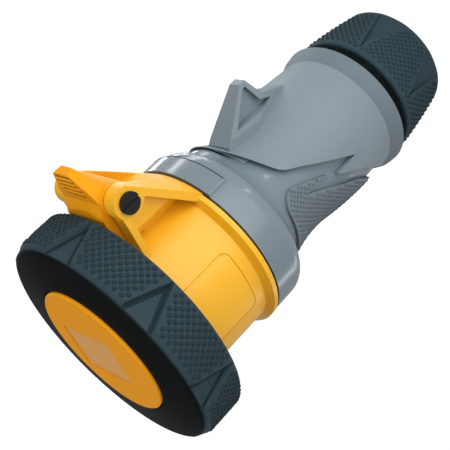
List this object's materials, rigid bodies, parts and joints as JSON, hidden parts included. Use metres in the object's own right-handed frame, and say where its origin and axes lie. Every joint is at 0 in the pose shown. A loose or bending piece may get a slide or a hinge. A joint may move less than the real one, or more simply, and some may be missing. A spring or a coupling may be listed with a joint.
{
  "type": "industrial cable coupler",
  "caption": "Yellow and grey industrial cable coupler: hinged lid with a bayonet locking ring, moulded grip with a fin, and a screwed cable gland.",
  "frame": {"origin": "centre of the gland nut's cable end, on the plane that it stands on", "axes": "+Z along the plug axis towards the lid, +X towards the lid hinge and the grip's fin"},
  "size_m": [0.1259, 0.1064, 0.2044],
  "materials": {
    "slate_plastic": "fine grained moulding",
    "dark_plastic": "moulded",
    "black_rubber": "moulded",
    "black_plastic": "moulded",
    "grey_rubber": "moulded",
    "grey_shell": "satin gloss moulding",
    "grey_cover": "soft matte over-moulding",
    "grey_pad": "dimpled soft over-moulding",
    "grey_slide": "satin gloss moulding",
    "seal_rubber": "moulded",
    "yellow_plastic": "gloss moulding",
    "lid_plastic": "gloss moulding",
    "pin_steel": "black oxide",
    "clip_steel": "zinc",
    "screw_steel": "zinc",
    "carrier_plastic": "moulded",
    "contact_brass": "bare",
    "ring_plastic": "fine grained moulding"
  },
  "bodies": {
    "coupler": {"gland_seal": "black_rubber", "gland_cage": "black_plastic", "cage_seal": "grey_rubber", "handle_shell": "grey_shell", "grip_cover": "grey_cover", "grip_pad": "grey_pad", "locking_slide": "grey_slide", "housing_seal": "seal_rubber", "socket_housing": "yellow_plastic", "hinge_pin": "pin_steel", "pin_clip": "clip_steel", "contact_carrier": "carrier_plastic", "terminal_block": "carrier_plastic", "carrier_cover": "carrier_plastic", "carrier_screws": "screw_steel", "terminal_screws": "screw_steel", "live_contact": "contact_brass", "neutral_contact": "contact_brass", "earth_contact": "contact_brass"},
    "lid": {"lid_cap": "lid_plastic", "lid_gasket": "black_rubber"},
    "locking_ring": {"locking_ring": "ring_plastic", "ring_retainer": "dark_plastic"},
    "pressure_ring": {"gland_ring": "dark_plastic"},
    "gland_nut": {"gland_nut": "slate_plastic"}
  },
  "joints": [
    {"name": "lid_hinge", "type": "hinge", "parent": "coupler", "child": "lid", "pos_m": [0.0548, 0, 0.1692], "axis": [0, 1, 0], "range_deg": [0, 105]},
    {"name": "ring_turn", "type": "hinge", "parent": "lid", "child": "locking_ring", "pos_m": [0, 0, 0.19], "axis": [0, 0, -1], "range_deg": [0, 30]},
    {"name": "nut_travel", "type": "slide", "parent": "coupler", "child": "pressure_ring", "axis": [0, 0, -1], "range_m": [0, 0.008]},
    {"name": "nut_turn", "type": "hinge", "parent": "pressure_ring", "child": "gland_nut", "pos_m": [0, 0, 0], "axis": [0, 0, -1], "range_deg": [0, 960]}
  ],
  "couplings": [
    {"joint": "nut_travel", "follows": "nut_turn", "m_per_rad": 0.00047746}
  ]
}
